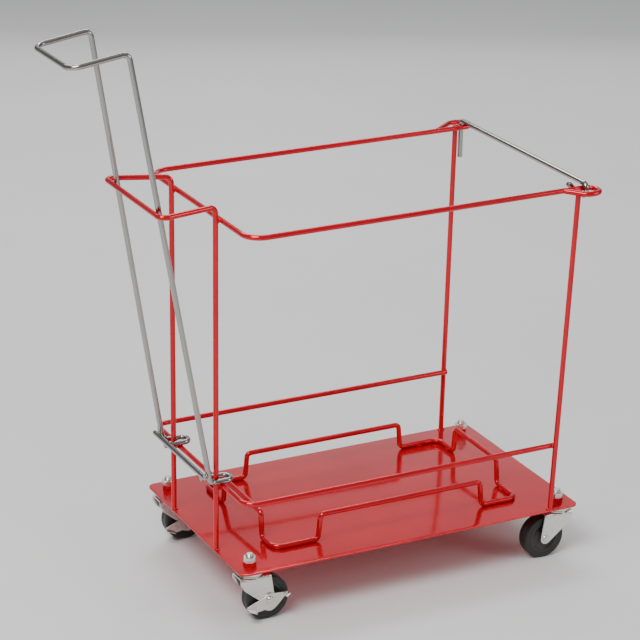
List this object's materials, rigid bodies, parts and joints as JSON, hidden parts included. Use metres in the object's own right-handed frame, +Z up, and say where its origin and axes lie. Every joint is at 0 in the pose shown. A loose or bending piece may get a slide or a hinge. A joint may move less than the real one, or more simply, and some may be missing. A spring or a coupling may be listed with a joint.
{
  "type": "wire-frame container cart",
  "caption": "Low steel deck on swivel casters with a bent-wire cradle, waist rail and top rim that hold a container, a leaning push handle and a lift-up wire gate bar.",
  "frame": {"origin": "on the floor, below the middle of the overall outline", "axes": "+X towards the front, where the gate bar is; +Y towards the cart's left side; +Z up"},
  "size_m": [0.873, 0.463, 0.9489],
  "materials": {
    "red_paint": "glossy red powder coat",
    "bright_wire": "bright nickel plate",
    "zinc": "pale zinc plate, satin",
    "tyre": "hard black rubber",
    "wheel_core": "dark moulded core"
  },
  "bodies": {
    "frame": {"base_plate": "red_paint", "rear_hoop": "red_paint", "top_rim": "red_paint", "waist_rail": "red_paint", "front_upright_left": "red_paint", "front_upright_right": "red_paint", "container_cradle": "red_paint", "weld_nuts": "red_paint", "caster_studs": "zinc", "stud_nuts": "zinc", "upper_races": "zinc"},
    "handle": {"push_handle": "bright_wire", "handle_cross_wire": "bright_wire"},
    "gate": {"gate_bar": "bright_wire"},
    "caster_rear_left": {"fork_rear_left": "zinc", "ball_race_rear_left": "zinc", "axle_bolt_rear_left": "zinc", "axle_nut_rear_left": "zinc"},
    "wheel_rear_left": {"tyre_rear_left": "tyre", "hub_rear_left": "wheel_core", "bushing_rear_left": "bright_wire"},
    "brake_rear_left": {"brake_lever_rear_left": "zinc"},
    "caster_rear_right": {"fork_rear_right": "zinc", "ball_race_rear_right": "zinc", "axle_bolt_rear_right": "zinc", "axle_nut_rear_right": "zinc"},
    "wheel_rear_right": {"tyre_rear_right": "tyre", "hub_rear_right": "wheel_core", "bushing_rear_right": "bright_wire"},
    "brake_rear_right": {"brake_lever_rear_right": "zinc"},
    "caster_front_left": {"fork_front_left": "zinc", "ball_race_front_left": "zinc", "axle_bolt_front_left": "zinc", "axle_nut_front_left": "zinc"},
    "wheel_front_left": {"tyre_front_left": "tyre", "hub_front_left": "wheel_core", "bushing_front_left": "bright_wire"},
    "caster_front_right": {"fork_front_right": "zinc", "ball_race_front_right": "zinc", "axle_bolt_front_right": "zinc", "axle_nut_front_right": "zinc"},
    "wheel_front_right": {"tyre_front_right": "tyre", "hub_front_right": "wheel_core", "bushing_front_right": "bright_wire"}
  },
  "joints": [
    {"name": "handle_tilt", "type": "hinge", "parent": "frame", "child": "handle", "pos_m": [-0.18996, 0, 0.213], "axis": [0, 1, 0], "range_deg": [0, 7]},
    {"name": "gate_lift", "type": "hinge", "parent": "frame", "child": "gate", "pos_m": [0.40952, -0.193, 0.67], "axis": [1, 0, 0], "range_deg": [0, 95]},
    {"name": "swivel_rear_left", "type": "hinge", "parent": "frame", "child": "caster_rear_left", "pos_m": [-0.17547, 0.165, 0.082], "axis": [0, 0, 1], "continuous": true},
    {"name": "spin_rear_left", "type": "hinge", "parent": "caster_rear_left", "child": "wheel_rear_left", "pos_m": [-0.14747, 0.165, 0.038], "axis": [0, 1, 0], "continuous": true},
    {"name": "brake_rear_left", "type": "hinge", "parent": "caster_rear_left", "child": "brake_rear_left", "pos_m": [-0.14747, 0.165, 0.038], "axis": [0, 1, 0], "range_deg": [0, 14]},
    {"name": "swivel_rear_right", "type": "hinge", "parent": "frame", "child": "caster_rear_right", "pos_m": [-0.17547, -0.165, 0.082], "axis": [0, 0, 1], "continuous": true},
    {"name": "spin_rear_right", "type": "hinge", "parent": "caster_rear_right", "child": "wheel_rear_right", "pos_m": [-0.14747, -0.165, 0.038], "axis": [0, 1, 0], "continuous": true},
    {"name": "brake_rear_right", "type": "hinge", "parent": "caster_rear_right", "child": "brake_rear_right", "pos_m": [-0.14747, -0.165, 0.038], "axis": [0, 1, 0], "range_deg": [0, 14]},
    {"name": "swivel_front_left", "type": "hinge", "parent": "frame", "child": "caster_front_left", "pos_m": [0.40852, 0.165, 0.082], "axis": [0, 0, 1], "continuous": true},
    {"name": "spin_front_left", "type": "hinge", "parent": "caster_front_left", "child": "wheel_front_left", "pos_m": [0.38053, 0.165, 0.038], "axis": [0, 1, 0], "continuous": true},
    {"name": "swivel_front_right", "type": "hinge", "parent": "frame", "child": "caster_front_right", "pos_m": [0.40852, -0.165, 0.082], "axis": [0, 0, 1], "continuous": true},
    {"name": "spin_front_right", "type": "hinge", "parent": "caster_front_right", "child": "wheel_front_right", "pos_m": [0.38053, -0.165, 0.038], "axis": [0, 1, 0], "continuous": true}
  ]
}
